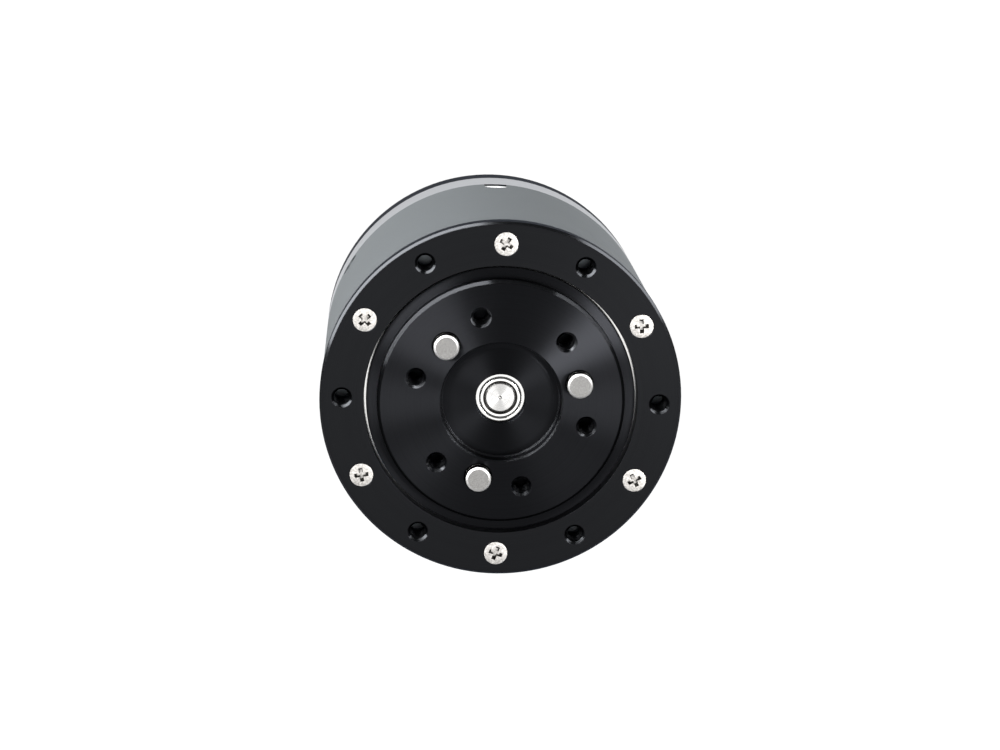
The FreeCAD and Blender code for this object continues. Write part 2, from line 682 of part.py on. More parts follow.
# ---------------------------------------------------------------- output flange and carrier
def pin_holes(body, back, height):
    for index in range(planet_count):
        placed(
            body, "SubtractiveCylinder", f"pin_hole_{index + 1}",
            on_circle(pin_circle_radius, planet_angle(index), back),
            Radius="pin_diameter / 2", Height=height,
        )


def make_output_flange():
    journal = "output_bearing_bore / 2"
    disc = "flange_disc_diameter / 2"
    pilot = "pilot_diameter / 2"
    seat = "centre_bearing_outside / 2"
    shaft_room = "shaft_diameter / 2 + flange_shaft_room"
    body = turned("output_flange", [
        (shaft_room, flange_back),
        (journal, flange_back),
        (journal, cover_back),
        ("flange_shoulder_diameter / 2", cover_back),
        ("flange_shoulder_diameter / 2", f"{rim_face} - flange_rim_thickness"),
        ("flange_rim_diameter / 2", f"{rim_face} - flange_rim_thickness"),
        ("flange_rim_diameter / 2", rim_face),
        (disc, rim_face),
        (disc, f"{disc_face} - flange_disc_chamfer"),
        (f"{disc} - flange_disc_chamfer", disc_face),
        (f"{pilot} + pilot_chamfer", disc_face),
        (pilot, f"{disc_face} - pilot_chamfer"),
        (pilot, f"{pilot_floor} + pilot_floor_bevel"),
        (f"{pilot} - pilot_floor_bevel", pilot_floor),
        (seat, pilot_floor),
        (seat, centre_bearing_back),
        (shaft_room, centre_bearing_back),
    ])
    tapped_holes(
        body, "output", "flange_hole_circle", "flange_hole_angle", "flange_hole_count",
        disc_face, "flange_hole_depth",
    )
    pin_holes(body, flange_back, f"({disc_face} - {flange_back})")
    for index in range(planet_count):
        placed(
            body, "SubtractiveCone", f"pin_seat_{index + 1}",
            on_circle(pin_circle_radius, planet_angle(index), f"({disc_face} - pin_seat_chamfer)"),
            Radius1="pin_diameter / 2", Radius2="pin_diameter / 2 + pin_seat_chamfer",
            Height="pin_seat_chamfer",
        )
    return body


def make_carrier_plate():
    body = ring(
        "carrier_rear_plate", "carrier_plate_bore / 2",
        f"{pin_circle_radius} + pin_diameter / 2 + carrier_plate_margin", carrier_back, carrier_front,
    )
    pin_holes(body, carrier_back, "carrier_plate_thickness")
    return body


def make_planet_pins():
    """Pins whose free ends, above the disc, are ground to slide into a mating part."""
    body = new_body("planet_pins")
    free_end = "pin_diameter / 2 - pin_end_relief"
    for index in range(planet_count):
        angle = planet_angle(index)
        turned_at(body, f"pin_{index + 1}", on_circle(pin_circle_radius, angle, "0"), [
            ("0", f"{disc_face} + pin_stand_out"),
            (f"{free_end} - pin_chamfer", f"{disc_face} + pin_stand_out"),
            (free_end, f"{disc_face} + pin_stand_out - pin_chamfer"),
            (free_end, disc_face),
            ("pin_diameter / 2", disc_face),
            ("pin_diameter / 2", carrier_back),
            ("0", carrier_back),
        ])
    return body


# ---------------------------------------------------------------- bearings
def make_bearing(name, bore, outside, wall, back, front):
    inner = ring(f"{name}_inner_ring", f"{bore} / 2", f"{bore} / 2 + {wall}", back, front)
    outer = ring(f"{name}_outer_ring", f"{outside} / 2 - {wall}", f"{outside} / 2", back, front)
    return [inner, outer]


# ---------------------------------------------------------------- motor
def make_rotor_bell():
    rim_inside = "bell_outside / 2 - bell_wall"
    return turned("rotor_bell", [
        (rim_inside, bell_back),
        ("bell_outside / 2", bell_back),
        ("bell_outside / 2", bell_front),
        ("shaft_diameter / 2", bell_front),
        ("shaft_diameter / 2", f"{bell_inside} - bell_boss_length"),
        ("bell_boss_diameter / 2", f"{bell_inside} - bell_boss_length"),
        ("bell_boss_diameter / 2", bell_inside),
        (rim_inside, bell_inside),
    ])


def make_rotor_magnets():
    """Flat magnets whose outer corners touch the bell's rim."""
    body = new_body("rotor_magnets")
    magnet = placed(
        body, "AdditiveBox", "magnet",
        (
            "magnet_seat_radius - magnet_thickness",
            "-magnet_width / 2",
            f"({stator_back} - magnet_overhang)",
        ),
        Length="magnet_thickness", Width="magnet_width", Height="magnet_length",
    )
    spread(body, [magnet], "magnet_count")
    return body


def make_stator_core():
    body = ring("stator_core", "hub_diameter / 2", "yoke_diameter / 2", stator_back, stator_front)
    outside = "stator_diameter / 2"
    right = [
        ("yoke_diameter / 2 - cut_margin", "tooth_width / 2"),
        (f"{outside} - shoe_thickness - shoe_slope", "tooth_width / 2"),
        (f"{outside} - shoe_thickness", "shoe_width / 2"),
        (f"{outside} + cut_margin", "shoe_width / 2"),
    ]
    left = [(across, f"-({up})") for across, up in reversed(right)]
    sketch = drawn(body, "tooth", "XY_Plane", [right + left], lift=stator_back)
    tooth = body.newObject("PartDesign::Pad", "stator_tooth")
    tooth.Profile = sketch
    bind(tooth, Length="stator_length")
    spread(body, [tooth], "slot_count")
    beyond = f"{outside} + 2 * cut_margin"
    ring_sketch = drawn(body, "rounding", "XZ_Plane", [[
        (outside, f"{stator_back} - cut_margin"),
        (beyond, f"{stator_back} - cut_margin"),
        (beyond, f"{stator_front} + cut_margin"),
        (outside, f"{stator_front} + cut_margin"),
    ]])
    rounding = body.newObject("PartDesign::Groove", "stator_rounding")
    rounding.Profile = ring_sketch
    rounding.ReferenceAxis = (ring_sketch, ["V_Axis"])
    rounding.Angle = 360
    body.Tip = rounding
    return body


def make_stator_coils():
    """One closed winding round each tooth."""
    body = new_body("stator_coils")
    inner_side = "(tooth_width / 2 + coil_insulation)"
    outer_side = f"({inner_side} + coil_thickness)"

    def frame_of(side, bottom, top):
        return [(f"-{side}", bottom), (side, bottom), (side, top), (f"-{side}", top)]

    sketch = drawn(
        body, "section", "YZ_Plane",
        [
            frame_of(
                outer_side,
                f"{stator_back} - coil_insulation - coil_thickness",
                f"{stator_front} + coil_insulation + coil_thickness",
            ),
            frame_of(inner_side, f"{stator_back} - coil_insulation", f"{stator_front} + coil_insulation"),
        ],
        lift="coil_start_radius",
    )
    coil = body.newObject("PartDesign::Pad", "coil")
    coil.Profile = sketch
    shoe_back = "stator_diameter / 2 - shoe_thickness - shoe_slope"
    bind(coil, Length=f"{shoe_back} - coil_insulation - coil_start_radius")
    spread(body, [coil], "slot_count")
    return body


# ---------------------------------------------------------------- electronics
def block(name, at, size):
    item = doc.addObject("Part::Box", name)
    item.Label = name
    bind(item, Placement__Base__x=at[0], Placement__Base__y=at[1], Placement__Base__z=at[2])
    bind(item, Length=size[0], Width=size[1], Height=size[2])
    return item


def upright(name, radius, at, height):
    item = doc.addObject("Part::Cylinder", name)
    item.Label = name
    bind(item, Placement__Base__x=at[0], Placement__Base__y=at[1], Placement__Base__z=at[2])
    bind(item, Radius=radius, Height=height)
    return item


def without(name, base, tools):
    group = doc.addObject("Part::Compound", f"{name}_cuts")
    group.Links = tools
    item = doc.addObject("Part::Cut", name)
    item.Label = name
    item.Base = base
    item.Tool = group
    return item


def together(name, pieces):
    item = doc.addObject("Part::Compound", name)
    item.Label = name
    item.Links = pieces
    return item


def make_driver_board():
    return upright("driver_board", "board_diameter / 2", ("0", "0", board_back), "board_thickness")


def make_board_spacers():
    spacers = []
    for index in range(round(measure("board_spacer_count"))):
        spacer = doc.addObject("Part::Prism", f"spacer_{index + 1}")
        spacer.Polygon = 6
        turn = f"(({index} + 0.5) * 360 / board_spacer_count)"
        x, y, z = on_circle("board_spacer_circle / 2", turn, board_front)
        bind(spacer, Placement__Base__x=x, Placement__Base__y=y, Placement__Base__z=z)
        bind(spacer, Circumradius="board_spacer_radius", Height="board_spacer_length")
        spacers.append(spacer)
    return together("board_spacers", spacers)


def make_power_transistors():
    body = new_body("power_transistors")
    start = "(90 - switch_spread * (switch_count - 1) / 2)"
    first = placed(
        body, "AdditiveBox", "switch",
        (
            f"switch_circle_radius * cos({start}) + switch_width / 2 * sin({start})",
            f"switch_circle_radius * sin({start}) - switch_width / 2 * cos({start})",
            f"{board_back} - switch_thickness",
        ),
        turn=start,
        Length="switch_length", Width="switch_width", Height="switch_thickness",
    )
    pattern = spread(body, [first], "switch_count")
    bind(pattern, Angle="switch_spread * (switch_count - 1)")
    return body


socket_height = f"({board_back} - socket_sink)"


def make_power_socket():
    body = block(
        "power_socket_body",
        (
            "power_socket_place - power_socket_length / 2",
            "socket_row - power_socket_width / 2",
            "socket_sink",
        ),
        ("power_socket_length", "power_socket_width", socket_height),
    )
    contacts = [
        upright(
            f"power_contact_{side}", "power_contact_diameter / 2",
            (f"power_socket_place {sign} power_contact_pitch / 2", "socket_row", "socket_sink"),
            "socket_contact_depth",
        )
        for side, sign in (("left", "-"), ("right", "+"))
    ]
    return without("power_socket", body, contacts)


def make_signal_socket(number, across):
    left = f"{across} - signal_socket_length / 2"
    low = "socket_row - signal_socket_width / 2"
    body = block(
        f"signal_body_{number}", (left, low, "socket_sink"),
        ("signal_socket_length", "signal_socket_width", socket_height),
    )
    cavity = block(
        f"signal_cavity_{number}",
        (f"{left} + signal_socket_wall", f"{low} + signal_socket_wall", "socket_sink"),
        (
            "signal_socket_length - 2 * signal_socket_wall",
            "signal_socket_width - 2 * signal_socket_wall",
            "socket_contact_depth",
        ),
    )
    return without(f"signal_socket_{number}", body, [cavity])


def make_rotation_sensor():
    return block(
        "rotation_sensor", ("-sensor_side / 2", "-sensor_side / 2", board_front),
        ("sensor_side", "sensor_side", "sensor_thickness"),
    )


def make_sensor_magnet():
    return upright(
        "sensor_magnet", "sensor_magnet_diameter / 2", ("0", "0", sensor_magnet_back),
        "sensor_magnet_thickness",
    )


# ---------------------------------------------------------------- assembly
pieces = [
    make_front_cover(),
    make_screws(
        "cover_screws", "face_circle", "cover_screw_angle", "cover_screw_count",
        cover_front, f"({cover_back} - cover_screw_bite)", 1,
    ),
    make_barrel(),
    make_rear_housing(),
    make_rear_cover(),
    make_screws(
        "rear_cover_screws", "rear_screw_circle", "rear_screw_angle", "rear_screw_count",
        "0", f"({housing_front} + rear_screw_bite)", -1,
    ),
    make_ring_gear(),
    *[make_planet_gear(index) for index in range(planet_count)],
    make_sun_shaft(),
    make_output_flange(),
    make_carrier_plate(),
    make_planet_pins(),
    *make_bearing(
        "output_bearing", "output_bearing_bore", "output_bearing_outside", "bearing_ring_wall",
        output_bearing_back, cover_back,
    ),
    *make_bearing(
        "centre_bearing", "shaft_diameter", "centre_bearing_outside", "centre_ring_wall",
        centre_bearing_back, centre_bearing_front,
    ),
    *make_bearing(
        "rear_bearing", "shaft_diameter", "rear_bearing_outside", "rear_ring_wall",
        web_back, rear_bearing_front,
    ),
    make_rotor_bell(),
    make_rotor_magnets(),
    make_stator_core(),
    make_stator_coils(),
    make_driver_board(),
    make_board_spacers(),
    make_power_transistors(),
    make_power_socket(),
    *[make_signal_socket(number, across) for number, across in enumerate(signal_places, start=1)],
    make_rotation_sensor(),
    make_sensor_magnet(),
]
doc.recompute()

for item in doc.Objects:
    if "Invalid" in item.State or "Error" in item.State:
        raise RuntimeError(f"{item.Label} failed: {item.State}")
for piece in pieces:
    if piece.Shape.isNull() or not piece.Shape.isValid() or not piece.Shape.Solids:
        raise RuntimeError(f"{piece.Label} has no sound solid")

os.makedirs("parts", exist_ok=True)
for piece in pieces:
    piece.Shape.exportStep(f"parts/{piece.Label}.step")
    print(f"{piece.Label}: {len(piece.Shape.Solids)} solids, {piece.Shape.Volume:.1f} mm3")
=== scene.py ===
import math

import bmesh
import bpy
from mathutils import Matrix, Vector


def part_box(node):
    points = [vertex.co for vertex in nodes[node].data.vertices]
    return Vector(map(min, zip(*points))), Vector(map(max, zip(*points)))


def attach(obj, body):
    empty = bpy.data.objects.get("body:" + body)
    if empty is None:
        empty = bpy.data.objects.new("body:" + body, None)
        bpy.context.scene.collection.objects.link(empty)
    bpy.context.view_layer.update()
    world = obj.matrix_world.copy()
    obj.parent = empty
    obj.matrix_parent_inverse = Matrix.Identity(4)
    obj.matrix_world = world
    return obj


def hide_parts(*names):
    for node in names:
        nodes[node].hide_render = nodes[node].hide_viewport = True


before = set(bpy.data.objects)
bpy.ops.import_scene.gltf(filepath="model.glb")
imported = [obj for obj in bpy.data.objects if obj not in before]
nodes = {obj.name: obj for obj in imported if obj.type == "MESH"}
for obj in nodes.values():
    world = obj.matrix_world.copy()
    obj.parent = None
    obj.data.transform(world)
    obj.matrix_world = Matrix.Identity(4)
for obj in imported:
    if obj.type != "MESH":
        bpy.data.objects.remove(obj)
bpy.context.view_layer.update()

# Looks of a geared robot joint actuator. Lengths are metres, the output axis is +Z.

mm = 0.001


# colours and nodes

quarterTurn = 0.25
bandScale = math.tau / 20       # a Wave texture of scale 1 has a band at every tau / 20
facing = 0.9                    # share along Z of a normal that counts as facing that way


def linear(hexText):
    # sRGB hex to linear RGBA
    shares = [int(hexText[place:place + 2], 16) / 255 for place in (1, 3, 5)]
    bent = [s / 12.92 if s <= 0.04045 else ((s + 0.055) / 1.055) ** 2.4 for s in shares]
    return (*bent, 1.0)


def addNode(tree, kind, settings=None, values=None, links=None):
    # sockets go by name or number. A Mix node's are 0 for the share, 2 and 3 for two numbers and
    # 6 and 7 for two colours, and its results are 0 for a number and 2 for a colour
    node = tree.nodes.new(kind)
    for name, value in (settings or {}).items():
        setattr(node, name, value)
    for socket, value in (values or {}).items():
        node.inputs[socket].default_value = value
    for socket, source in (links or {}).items():
        tree.links.new(source, node.inputs[socket])
    return node


def newMaterial(name, base, metallic, roughness, anisotropy=0.0, **surface):
    # surface holds further constant sockets of the shader, by their names with _ for a space
    material = bpy.data.materials.new(name)
    material.use_nodes = True
    tree = material.node_tree
    shader = tree.nodes["Principled BSDF"]
    shader.inputs["Base Color"].default_value = linear(base)
    shader.inputs["Metallic"].default_value = metallic
    shader.inputs["Roughness"].default_value = roughness
    for socket, value in surface.items():
        shader.inputs[socket.replace("_", " ")].default_value = value
    if anisotropy:
        # the marks of turning run round the axis, and the sheen spreads across them
        shader.inputs["Anisotropic"].default_value = anisotropy
        shader.inputs["Anisotropic Rotation"].default_value = quarterTurn
        marksRound = addNode(tree, "ShaderNodeTangent", {"direction_type": "RADIAL", "axis": "Z"})
        tree.links.new(marksRound.outputs["Tangent"], shader.inputs["Tangent"])
    return material, tree, shader


def latheCoordinates(tree):
    # (distance from the axis, height), so that marks run round on faces and walls alike, and the
    # distance alone
    place = addNode(tree, "ShaderNodeTexCoord").outputs["Object"]
    split = addNode(tree, "ShaderNodeSeparateXYZ", links={"Vector": place})
    flat = addNode(tree, "ShaderNodeCombineXYZ",
                   links={"X": split.outputs["X"], "Y": split.outputs["Y"]})
    radius = addNode(tree, "ShaderNodeVectorMath", {"operation": "LENGTH"},
                     links={0: flat.outputs[0]}).outputs["Value"]
    both = addNode(tree, "ShaderNodeCombineXYZ", links={"X": radius, "Y": split.outputs["Z"]})
    return both.outputs[0], radius


def colourVariation(tree, shader, factor, dark, light, ends=(0.0, 1.0)):
    # ends are the factors at which the colour is all dark and all light
    ramp = addNode(tree, "ShaderNodeValToRGB", links={"Fac": factor})
    for stop, place, colour in zip(ramp.color_ramp.elements, ends, (dark, light)):
        stop.position = place
        stop.color = linear(colour)
    tree.links.new(ramp.outputs["Color"], shader.inputs["Base Color"])
    return ramp.outputs["Color"]


def roughnessVariation(tree, shader, factor, low, high):
    spread = addNode(tree, "ShaderNodeMapRange", values={"To Min": low, "To Max": high},
                     links={"Value": factor})
    tree.links.new(spread.outputs["Result"], shader.inputs["Roughness"])
    return spread.outputs["Result"]


def relief(tree, shader, height, depth):
    # height runs 0 to 1, depth is what 1 stands for
    bump = addNode(tree, "ShaderNodeBump", values={"Strength": 1.0, "Distance": depth},
                   links={"Height": height})
    tree.links.new(bump.outputs["Normal"], shader.inputs["Normal"])
    return bump


def cornerMask(tree, radius, slopes):
    # white where a surface slopes as a chamfer or a broken edge does, rising over the first two
    # slopes and falling over the last two; also the rounded normals and how far they look up
    corner = addNode(tree, "ShaderNodeBevel", {"samples": 4}, {"Radius": radius})
    slope = addNode(tree, "ShaderNodeSeparateXYZ", links={"Vector": corner.outputs["Normal"]})
    upright = addNode(tree, "ShaderNodeMath", {"operation": "ABSOLUTE"},
                      links={0: slope.outputs["Z"]})
    mask = addNode(tree, "ShaderNodeValToRGB", links={"Fac": upright.outputs[0]})
    stops = mask.color_ramp.elements
    stops[0].position, stops[0].color = slopes[0], (0, 0, 0, 1)
    stops[1].position, stops[1].color = slopes[3], (0, 0, 0, 1)
    for place in slopes[1:3]:
        stops.new(place).color = (1, 1, 1, 1)
    return mask.outputs["Color"], corner.outputs["Normal"], upright.outputs[0]


# finishes of the housing

blackAnodised = {
    "edgeTint": "#b4b7be",      # the dye swallows most of what glances off
    "wornAndHighlight": "#303133",          # chamfers and corners, burnished by handling and lighter as a painted highlight
    "wornRoughness": 0.2,
    "wornAndHighlightSlopes": (0.45, 0.6, 0.8, 0.92),   # how far up a surface looks where it counts as worn and gets the painted highlight
    "cornerRadius": 0.16 * mm,
    "pilotRadius": 8.3 * mm,    # the recess inside is milled, without the sheen of turning
    "pilotRoughness": 0.56,
    "markPitch": 0.12 * mm,     # real marks are about 0.05 mm apart, and these are coarser to show
    "markDepth": 0.0001 * mm,
    # dark, light, roughness low and high, anisotropy, lean of the marks' long sides (rise per run)
    "turnedFine": ("#171719", "#1f2022", 0.31, 0.39, 0.95, 0.2),
    "turnedMatt": ("#141416", "#1b1c1d", 0.42, 0.5, 0.3, 0.0),
}


def blackAnodisedAluminium(name, cut):
    # fine turning under a black oxide layer: a soft sheen that fans out across the tool marks
    v = blackAnodised
    dark, light, low, high, anisotropy, lean = v[cut]
    material, tree, shader = newMaterial(name, dark, 1.0, low, anisotropy,
                                         Specular_Tint=linear(v["edgeTint"]))
    lathe, radius = latheCoordinates(tree)
    marks = addNode(tree, "ShaderNodeTexNoise", {"noise_dimensions": "2D"},
                    {"Scale": 1 / v["markPitch"], "Detail": 2.0, "Roughness": 0.6},
                    {"Vector": lathe})
    colour = colourVariation(tree, shader, marks.outputs["Fac"], dark, light)
    rough = roughnessVariation(tree, shader, marks.outputs["Fac"], low, high)
    # chamfers and corners get a lighter colour: burnished wear, and partly a painted highlight
    chamfer, rounded, _ = cornerMask(tree, v["cornerRadius"], v["wornAndHighlightSlopes"])
    wornAndHighlightColour = addNode(tree, "ShaderNodeMix", {"data_type": "RGBA"}, {7: linear(v["wornAndHighlight"])},
                         {0: chamfer, 6: colour})
    inRecess = addNode(tree, "ShaderNodeMath", {"operation": "LESS_THAN"},
                       {1: v["pilotRadius"]}, {0: radius})
    faceRough = addNode(tree, "ShaderNodeMix", values={3: v["pilotRoughness"]},
                        links={0: inRecess.outputs[0], 2: rough})
    wornRough = addNode(tree, "ShaderNodeMix", values={3: v["wornRoughness"]},
                        links={0: chamfer, 2: faceRough.outputs[0]})
    tree.links.new(wornAndHighlightColour.outputs[2], shader.inputs["Base Color"])
    tree.links.new(wornRough.outputs[0], shader.inputs["Roughness"])
    bump = relief(tree, shader, marks.outputs["Fac"], v["markDepth"])
    if lean:
        # the tool leaves saw-toothed marks, too fine to show, whose long sides lean outward
        teeth = addNode(tree, "ShaderNodeBump", {"invert": True},
                        {"Strength": 1.0, "Distance": lean}, {"Height": radius, "Normal": rounded})
        rounded = teeth.outputs["Normal"]
    tree.links.new(rounded, bump.inputs["Normal"])
    return material


greyAnodised = {
    "dark": "#626668",
    "light": "#7b7f81",
    "edgeTint": "#787a7d",      # the dye darkens the metal where the light slants through it
    "metallic": 0.75,
    "roughness": (0.3, 0.42),
    "anisotropy": 0.6,
    "markPitch": 0.25 * mm,     # coarser than real marks, so that they show
    "markDepth": 0.002 * mm,
}


def greyAnodisedAluminium():
    # a turned tube under a grey oxide layer: even grey with faint streaks round the barrel
    v = greyAnodised
    material, tree, shader = newMaterial(
        "greyAnodisedAluminium", v["dark"], v["metallic"], v["roughness"][0], v["anisotropy"],
        Specular_Tint=linear(v["edgeTint"]))
    lathe, _ = latheCoordinates(tree)
    marks = addNode(tree, "ShaderNodeTexNoise", {"noise_dimensions": "2D"},
                    {"Scale": 1 / v["markPitch"], "Detail": 4.0, "Roughness": 0.7},
                    {"Vector": lathe})
    colourVariation(tree, shader, marks.outputs["Fac"], v["dark"], v["light"])
    roughnessVariation(tree, shader, marks.outputs["Fac"], *v["roughness"])
    relief(tree, shader, marks.outputs["Fac"], v["markDepth"])
    return material


clearAnodised = {
    "dark": "#c3c5c8",
    "light": "#d7d8db",
    "edgeTint": "#c7c8ca",
    "roughness": (0.26, 0.34),
    "grain": 0.08 * mm,         # bead blasting
    "grainDepth": 0.0008 * mm,
    "joint": "#ffffff",         # the joint face that shows in the notches, white as painted light, with a painted shade line at its rim
    "paintedShadeRim": "#17191c",
    "jointEnd": 27.94 * mm,     # from the axis
    "paintedShadeStart": 28.02 * mm,
}


def clearAnodisedAluminium():
    # blasted before a clear oxide layer: even, pale and satin. The joint face in the notches is
    # white and not metal as painted light, with a painted shade line at its rim
    v = clearAnodised
    material, tree, shader = newMaterial("clearAnodisedAluminium", v["light"], 1.0,
                                         v["roughness"][0], Specular_Tint=linear(v["edgeTint"]))
    place = addNode(tree, "ShaderNodeTexCoord").outputs["Object"]
    grain = addNode(tree, "ShaderNodeTexNoise", values={"Scale": 1 / v["grain"], "Detail": 3.0},
                    links={"Vector": place})
    wall = colourVariation(tree, shader, grain.outputs["Fac"], v["dark"], v["light"])
    # the joint face turns white and not metal, a painted light, and its rim gets a painted shade
    # line
    normal = addNode(tree, "ShaderNodeTexCoord").outputs["Normal"]
    upward = addNode(tree, "ShaderNodeSeparateXYZ", links={"Vector": normal})
    isJoint = addNode(tree, "ShaderNodeMath", {"operation": "GREATER_THAN"}, {1: facing},
                      {0: upward.outputs["Z"]})
    _, radius = latheCoordinates(tree)
    outward = addNode(tree, "ShaderNodeMapRange",
                      values={"From Min": v["jointEnd"], "From Max": v["paintedShadeStart"]},
                      links={"Value": radius})
    joint = colourVariation(tree, shader, outward.outputs["Result"], v["joint"], v["paintedShadeRim"])
    either = addNode(tree, "ShaderNodeMix", {"data_type": "RGBA"},
                     links={0: isJoint.outputs[0], 6: wall, 7: joint})
    tree.links.new(either.outputs[2], shader.inputs["Base Color"])
    isMetal = addNode(tree, "ShaderNodeMath", {"operation": "SUBTRACT"}, {0: 1.0},
                      {1: isJoint.outputs[0]})
    tree.links.new(isMetal.outputs[0], shader.inputs["Metallic"])
    roughnessVariation(tree, shader, grain.outputs["Fac"], *v["roughness"])
    relief(tree, shader, grain.outputs["Fac"], v["grainDepth"])
    return material


# metals

turnedMetals = {
    # name: dark, light, roughness low and high, mark pitch, mark depth, anisotropy. The marks are
    # coarser than real ones where those would be too fine to show
    "plainAluminium": ("#a9acb0", "#c3c5c8", 0.28, 0.4, 0.2 * mm, 0.001 * mm, 0.0),
    "gearSteel": ("#8d8f92", "#a5a7aa", 0.24, 0.36, 0.15 * mm, 0.001 * mm, 0.0),
    "shaftSteel": ("#a9a8a6", "#c6c5c3", 0.24, 0.32, 0.2 * mm, 0.001 * mm, 0.9),
    "bearingSteel": ("#b5b4b1", "#cccbc8", 0.12, 0.2, 0.05 * mm, 0.0003 * mm, 0.0),
    "zincPlatedSteel": ("#9ea3a8", "#b9bdc1", 0.25, 0.4, 0.3 * mm, 0.0015 * mm, 0.0),
    "nickelPlatedMagnet": ("#a8a7a3", "#bdbcb7", 0.2, 0.3, 0.3 * mm, 0.0005 * mm, 0.0),
    "spacerBrass": ("#b08d4c", "#cdaa63", 0.2, 0.32, 0.15 * mm, 0.0008 * mm, 0.0),
    "contactGold": ("#c89a3c", "#e3bd62", 0.16, 0.26, 0.1 * mm, 0.0004 * mm, 0.0),
}


def turnedMetal(name):
    # bare or plated metal with the marks of turning or grinding round the axis
    dark, light, low, high, pitch, depth, anisotropy = turnedMetals[name]
    material, tree, shader = newMaterial(name, light, 1.0, low, anisotropy)
    lathe, _ = latheCoordinates(tree)
    marks = addNode(tree, "ShaderNodeTexNoise", {"noise_dimensions": "2D"},
                    {"Scale": 1 / pitch, "Detail": 3.0, "Roughness": 0.6}, {"Vector": lathe})
    colourVariation(tree, shader, marks.outputs["Fac"], dark, light)
    roughnessVariation(tree, shader, marks.outputs["Fac"], low, high)
    relief(tree, shader, marks.outputs["Fac"], depth)
    return material


innerRing = {
    "finish": "bearingSteel",
    # dark painted shade on the corner at the bore
    "corner": "#1d1c1b",
    "paintedShadeEnd": 2.7 * mm,      # from the axis
    "faceStart": 2.77 * mm,
}


def bearingInnerRing(v):
    # bearing steel: the ground face is bright, and the corner at the bore gets a dark painted
    # shade
    _, light, low, high = turnedMetals[v["finish"]][:4]
    material, tree, shader = newMaterial("bearingSteelPaintedShade", light, 1.0, low)
    _, radius = latheCoordinates(tree)
    across = addNode(tree, "ShaderNodeMapRange",
                     values={"From Min": v["paintedShadeEnd"], "From Max": v["faceStart"]},
                     links={"Value": radius})
    colourVariation(tree, shader, across.outputs["Result"], v["corner"], light)
    roughnessVariation(tree, shader, across.outputs["Result"], high, low)
    return material


grainedSteels = {
    # name: dark, light, roughness low and high, grain (a pin's is coarser than real, to show)
    "nickelPlatedSteel": ("#8f8c88", "#c8c5c1", 0.42, 0.52, 0.3 * mm),
    # near-black painted shade for the walls of a screw's cross
    "crossWallPaintedShade": ("#1b1a19", "#5d5b57", 0.42, 0.52, 0.3 * mm),
    "groundSteel": ("#646361", "#8b8a88", 0.45, 0.55, 0.12 * mm),
}
grainDepth = 0.004 * mm
grainEnds = (0.3, 0.7)          # the grain's noise seldom goes further

pinChamfer = {
    # the chamfer's colour is a painted highlight
    "colour": "#e4e3e1",
    "cornerRadius": 0.12 * mm,
    "slopes": (0.5, 0.6, 0.92, 0.97),       # how far up a surface looks where it is the chamfer
    "wallSlope": 0.5,           # what looks up less is the round wall
    "wallRoughness": 0.1,       # which is ground finer than the end
}


def grainedSteel(name):
    # barrel plating is bright, warm and uneven, the walls of a screw's cross get a near-black
    # painted shade, and a pin's ground end is grey and finely dotted
    dark, light, low, high, size = grainedSteels[name]
    material, tree, shader = newMaterial(name, light, 1.0, low)
    place = addNode(tree, "ShaderNodeTexCoord").outputs["Object"]
    grain = addNode(tree, "ShaderNodeTexNoise", values={"Scale": 1 / size, "Detail": 4.0},
                    links={"Vector": place})
    colour = colourVariation(tree, shader, grain.outputs["Fac"], dark, light, grainEnds)
    rough = roughnessVariation(tree, shader, grain.outputs["Fac"], low, high)
    bump = relief(tree, shader, grain.outputs["Fac"], grainDepth)
    if name == "groundSteel":
        # the chamfer round a pin's ground end gets a painted highlight: a much lighter colour
        v = pinChamfer
        chamfer, rounded, upright = cornerMask(tree, v["cornerRadius"], v["slopes"])
        isWall = addNode(tree, "ShaderNodeMath", {"operation": "LESS_THAN"},
                         {1: v["wallSlope"]}, {0: upright})
        wallRough = addNode(tree, "ShaderNodeMix", values={3: v["wallRoughness"]},
                            links={0: isWall.outputs[0], 2: rough})
        tree.links.new(wallRough.outputs[0], shader.inputs["Roughness"])
        paintedHighlight = addNode(tree, "ShaderNodeMix", {"data_type": "RGBA"},
                           {7: linear(v["colour"])}, {0: chamfer, 6: colour})
        tree.links.new(paintedHighlight.outputs[2], shader.inputs["Base Color"])
        tree.links.new(rounded, bump.inputs["Normal"])
    return material


laminations = {
    "sheet": 0.35 * mm,         # thickness of one steel sheet
    "lineDepth": 0.02 * mm,
    "dark": "#4c4e52",
    "light": "#85888c",
    "metallic": 0.9,
    "roughness": 0.42,
}


def laminationSteel():
    # stamped steel sheets, stacked: fine lines round the sides
    v = laminations
    material, tree, shader = newMaterial("laminationSteel", v["light"], v["metallic"],
                                         v["roughness"])
    place = addNode(tree, "ShaderNodeTexCoord").outputs["Object"]
    sheets = addNode(tree, "ShaderNodeTexWave", {"bands_direction": "Z"},
                     {"Scale": bandScale / v["sheet"], "Distortion": 0.0}, {"Vector": place})
    colourVariation(tree, shader, sheets.outputs["Fac"], v["dark"], v["light"])
    relief(tree, shader, sheets.outputs["Fac"], v["lineDepth"])
    return material


windings = {
    "wire": 0.45 * mm,          # enamelled wire, outside
    "wireRelief": 1 / 3,        # how far a wire stands out, as a share of its thickness
    "dark": "#6f3214",
    "light": "#b8683a",
    "metallic": 0.85,
    "roughness": 0.28,
    "enamel": 0.4,
    "enamelRoughness": 0.15,
}


